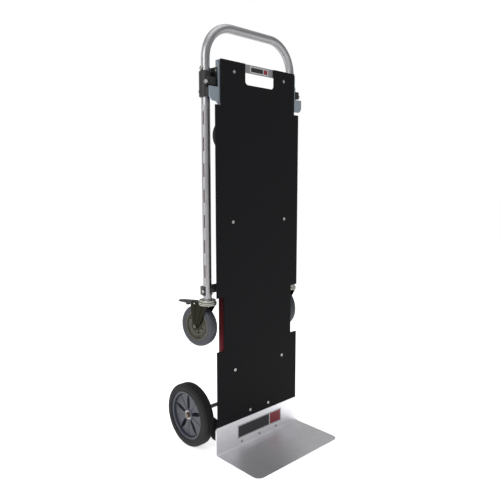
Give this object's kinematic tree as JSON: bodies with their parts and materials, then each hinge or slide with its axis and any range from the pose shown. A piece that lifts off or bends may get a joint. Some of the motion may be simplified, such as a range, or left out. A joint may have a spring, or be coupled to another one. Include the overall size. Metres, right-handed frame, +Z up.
{
  "type": "convertible hand truck",
  "caption": "Two-wheel hand truck with a flat deck panel and nose plate, whose sliding, folding tube handle carries braked swivel casters for use as a platform truck.",
  "frame": {"origin": "on the floor, under the middle of the whole truck's width and depth", "axes": "+Z up, the load face and the toe look towards -Y, +X to the right of someone who faces the load face"},
  "size_m": [0.5208, 0.507, 1.617],
  "materials": {
    "rail_aluminium": "satin extruded",
    "nose_aluminium": "brushed",
    "tube_aluminium": "satin drawn tube",
    "bracket_aluminium": "bluish satin",
    "deck_black": "matte, finely textured",
    "leg_strip": "plain printed strip",
    "nose_decal": "plain bars",
    "grip_decal": "plain bars",
    "rail_decal": "plain red",
    "black_rubber": "matte",
    "black_paint": "black, satin",
    "sleeve_black": "black, cast",
    "zinc_screw": "zinc plated",
    "axle_steel": "dull steel",
    "bearing_steel": "ground",
    "main_tyre": "matte black",
    "main_hub": "grey moulded",
    "caster_zinc": "zinc plated",
    "fork_zinc": "olive zinc",
    "caster_core": "beige grey",
    "caster_tread": "blue grey"
  },
  "bodies": {
    "frame": {"left_rail": "rail_aluminium", "right_rail": "rail_aluminium", "top_crossbar": "rail_aluminium", "upper_crossmember": "rail_aluminium", "lower_crossmember": "rail_aluminium", "foot_crossmember": "rail_aluminium", "deck_panel": "deck_black", "deck_screws": "zinc_screw", "nose_plate": "nose_aluminium", "nose_bolts": "zinc_screw", "nose_decal": "nose_decal", "grip_decal": "grip_decal", "rail_decals": "rail_decal", "rest_bumpers": "black_rubber", "left_axle_bracket": "black_paint", "right_axle_bracket": "black_paint", "axle_bracket_bolts": "zinc_screw", "axle": "axle_steel", "axle_spacers": "axle_steel", "axle_nuts": "zinc_screw", "left_pivot_bracket": "bracket_aluminium", "right_pivot_bracket": "bracket_aluminium", "left_pivot_casting": "black_paint", "right_pivot_casting": "black_paint", "casting_bolts": "zinc_screw", "pivot_pins": "zinc_screw"},
    "left_wheel": {"left_tyre": "main_tyre", "left_hub": "main_hub", "left_wheel_bearings": "bearing_steel"},
    "right_wheel": {"right_tyre": "main_tyre", "right_hub": "main_hub", "right_wheel_bearings": "bearing_steel"},
    "sleeves": {"left_sleeve": "sleeve_black", "right_sleeve": "sleeve_black", "latch_springs": "bearing_steel"},
    "left_latch": {"left_latch_pin": "zinc_screw"},
    "right_latch": {"right_latch_pin": "zinc_screw"},
    "left_plunger": {"left_tube_plunger": "black_paint"},
    "right_plunger": {"right_tube_plunger": "black_paint"},
    "handle": {"handle_tube": "tube_aluminium", "leg_strips": "leg_strip", "stop_bolts": "zinc_screw", "brace_bar": "axle_steel", "brace_saddles": "black_paint", "brace_bolts": "zinc_screw", "left_caster_mount": "caster_zinc", "right_caster_mount": "caster_zinc"},
    "left_caster": {"left_caster_fork": "fork_zinc", "left_caster_axle": "zinc_screw", "left_brake_pin": "zinc_screw"},
    "left_caster_wheel": {"left_caster_core": "caster_core", "left_caster_tread": "caster_tread"},
    "left_brake": {"left_brake_pedal": "black_paint"},
    "right_caster": {"right_caster_fork": "fork_zinc", "right_caster_axle": "zinc_screw", "right_brake_pin": "zinc_screw"},
    "right_caster_wheel": {"right_caster_core": "caster_core", "right_caster_tread": "caster_tread"},
    "right_brake": {"right_brake_pedal": "black_paint"}
  },
  "joints": [
    {"name": "handle_pivot", "type": "hinge", "parent": "frame", "child": "sleeves", "pos_m": [0, 0.0273, 1.393], "axis": [1, 0, 0], "range_deg": [0, 90]},
    {"name": "handle_slide", "type": "slide", "parent": "sleeves", "child": "handle", "axis": [0, 0, 1], "range_m": [0, 0.688]},
    {"name": "left_wheel_spin", "type": "hinge", "parent": "frame", "child": "left_wheel", "pos_m": [-0.235, 0.1285, 0.125], "axis": [1, 0, 0], "continuous": true},
    {"name": "right_wheel_spin", "type": "hinge", "parent": "frame", "child": "right_wheel", "pos_m": [0.235, 0.1285, 0.125], "axis": [1, 0, 0], "continuous": true},
    {"name": "left_latch_pull", "type": "slide", "parent": "sleeves", "child": "left_latch", "axis": [-1, 0, 0], "range_m": [0, 0.008], "stiffness_N_per_m": 400, "springref_m": -0.004, "deforming": ["latch_springs"]},
    {"name": "left_plunger_pull", "type": "slide", "parent": "sleeves", "child": "left_plunger", "axis": [0, 1, 0], "range_m": [0, 0.008], "stiffness_N_per_m": 400, "springref_m": -0.004},
    {"name": "left_caster_swivel", "type": "hinge", "parent": "handle", "child": "left_caster", "pos_m": [-0.2232, 0.0273, 0.59], "axis": [0, 0, 1], "range_deg": [-44, 130]},
    {"name": "left_caster_spin", "type": "hinge", "parent": "left_caster", "child": "left_caster_wheel", "pos_m": [-0.23022, 0.06972, 0.5], "axis": [0.9866, 0.1633, 0], "continuous": true},
    {"name": "left_brake_press", "type": "hinge", "parent": "left_caster", "child": "left_brake", "pos_m": [-0.23071, 0.07268, 0.588], "axis": [-0.9866, -0.1633, 0], "range_deg": [0, 10], "stiffness_Nm_per_rad": 1.2, "springref_deg": -17.19},
    {"name": "right_latch_pull", "type": "slide", "parent": "sleeves", "child": "right_latch", "axis": [1, 0, 0], "range_m": [0, 0.008], "stiffness_N_per_m": 400, "springref_m": -0.004, "deforming": ["latch_springs"]},
    {"name": "right_plunger_pull", "type": "slide", "parent": "sleeves", "child": "right_plunger", "axis": [0, 1, 0], "range_m": [0, 0.008], "stiffness_N_per_m": 400, "springref_m": -0.004},
    {"name": "right_caster_swivel", "type": "hinge", "parent": "handle", "child": "right_caster", "pos_m": [0.2232, 0.0273, 0.59], "axis": [0, 0, 1], "range_deg": [-130, 44]},
    {"name": "right_caster_spin", "type": "hinge", "parent": "right_caster", "child": "right_caster_wheel", "pos_m": [0.23022, 0.06972, 0.5], "axis": [0.9866, -0.1633, 0], "continuous": true},
    {"name": "right_brake_press", "type": "hinge", "parent": "right_caster", "child": "right_brake", "pos_m": [0.23071, 0.07268, 0.588], "axis": [-0.9866, 0.1633, 0], "range_deg": [0, 10], "stiffness_Nm_per_rad": 1.2, "springref_deg": -17.19}
  ]
}
